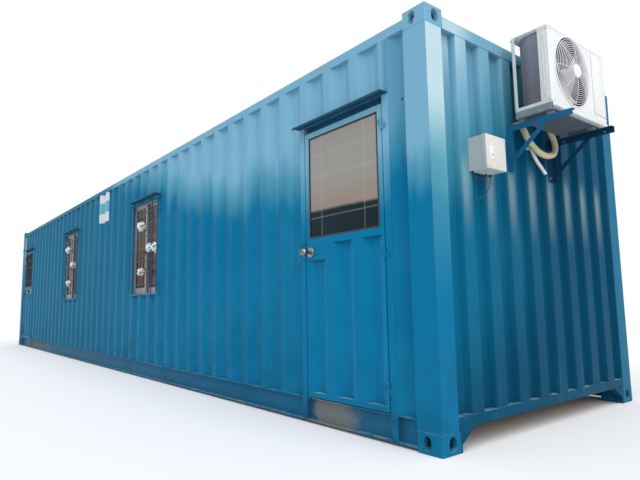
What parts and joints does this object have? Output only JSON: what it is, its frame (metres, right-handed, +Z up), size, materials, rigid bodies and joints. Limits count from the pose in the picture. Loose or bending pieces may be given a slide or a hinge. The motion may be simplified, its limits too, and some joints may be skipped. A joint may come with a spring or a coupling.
{
  "type": "shipping container cabin",
  "caption": "Corrugated steel freight container made into a cabin, with two part-glazed doors, two barred sliding windows and a bracket-mounted air conditioner on one end.",
  "frame": {"origin": "centre of the footprint, on the ground plane, midway between the four bottom corner apertures", "axes": "+X along the length to the end that carries the air conditioner, +Y from the wall with doors and windows to the plain wall, +Z up"},
  "size_m": [12.632, 2.53, 2.591],
  "materials": {
    "cabin_paint": "gloss enamel over old steel, dusty and scuffed",
    "aluminium_frame": "mill-finish aluminium extrusions",
    "window_glass": "brown tinted panes",
    "door_glass": "dark tinted pane",
    "plywood_floor": "varnished marine plywood",
    "lining_board": "smooth insulated wall board",
    "chrome_fittings": "polished",
    "white_casing": "baked white enamel",
    "coil_fins": "close fins, dirty",
    "fan_plastic": "grey moulding",
    "guard_wire": "coated wire",
    "motor_steel": "grey enamel",
    "box_plastic": "smooth moulding",
    "pipe_foam": "cream insulating sleeve",
    "drain_plastic": "white rigid pipe",
    "painted_wire": "cable painted over with the wall",
    "underfloor_steel": "dark undercoat"
  },
  "bodies": {
    "root": {"ac_base_pan": "white_casing", "ac_brackets": "cabin_paint", "ac_casing": "white_casing", "ac_coil": "coil_fins", "ac_fan_guard": "guard_wire", "ac_fan_motor": "motor_steel", "back_wall": "cabin_paint", "bottom_side_rails": "cabin_paint", "box_wire_loop": "painted_wire", "box_wire_tail": "painted_wire", "ceiling": "lining_board", "corner_castings_bottom": "cabin_paint", "corner_castings_top": "cabin_paint", "corner_posts": "cabin_paint", "cross_members": "underfloor_steel", "door_heads_and_sills": "cabin_paint", "door_hinge_pins": "cabin_paint", "door_jambs": "cabin_paint", "drain_pipe": "drain_plastic", "electrical_box": "box_plastic", "end_gussets": "cabin_paint", "end_rails": "cabin_paint", "end_walls": "cabin_paint", "floor": "plywood_floor", "front_wall_at_windows": "cabin_paint", "front_wall_over_doors": "cabin_paint", "front_wall_panels": "cabin_paint", "insulated_pipe": "pipe_foam", "lining_back": "lining_board", "lining_ends": "lining_board", "lining_front": "lining_board", "lining_front_infills": "lining_board", "rain_hoods": "cabin_paint", "roof": "cabin_paint", "top_side_rails": "cabin_paint", "window_frames": "aluminium_frame", "window_glass": "window_glass", "window_grilles": "cabin_paint", "window_sashes": "aluminium_frame", "window_surrounds": "cabin_paint"},
    "near_door": {"near_door_glass": "door_glass", "near_door_hinges": "cabin_paint", "near_door_leaf": "cabin_paint", "near_door_rose": "chrome_fittings"},
    "near_knob": {"near_door_knob": "chrome_fittings"},
    "far_door": {"far_door_glass": "door_glass", "far_door_hinges": "cabin_paint", "far_door_leaf": "cabin_paint", "far_door_rose": "chrome_fittings"},
    "far_knob": {"far_door_knob": "chrome_fittings"},
    "ac_fan": {"ac_fan": "fan_plastic"}
  },
  "joints": [
    {"name": "near_door_swing", "type": "hinge", "parent": "root", "child": "near_door", "pos_m": [5.718, -1.226, 1.135], "axis": [0, 0, 1], "range_deg": [0, 150]},
    {"name": "near_knob_turn", "type": "hinge", "parent": "near_door", "child": "near_knob", "pos_m": [4.972, -1.215, 1.197], "axis": [0, -1, 0], "range_deg": [-60, 60]},
    {"name": "far_door_swing", "type": "hinge", "parent": "root", "child": "far_door", "pos_m": [-5.718, -1.226, 1.135], "axis": [0, 0, -1], "range_deg": [0, 150]},
    {"name": "far_knob_turn", "type": "hinge", "parent": "far_door", "child": "far_knob", "pos_m": [-4.972, -1.215, 1.197], "axis": [0, -1, 0], "range_deg": [-60, 60]},
    {"name": "fan_spin", "type": "hinge", "parent": "root", "child": "ac_fan", "pos_m": [6.362, -0.144, 2.317], "axis": [1, 0, 0], "continuous": true}
  ]
}
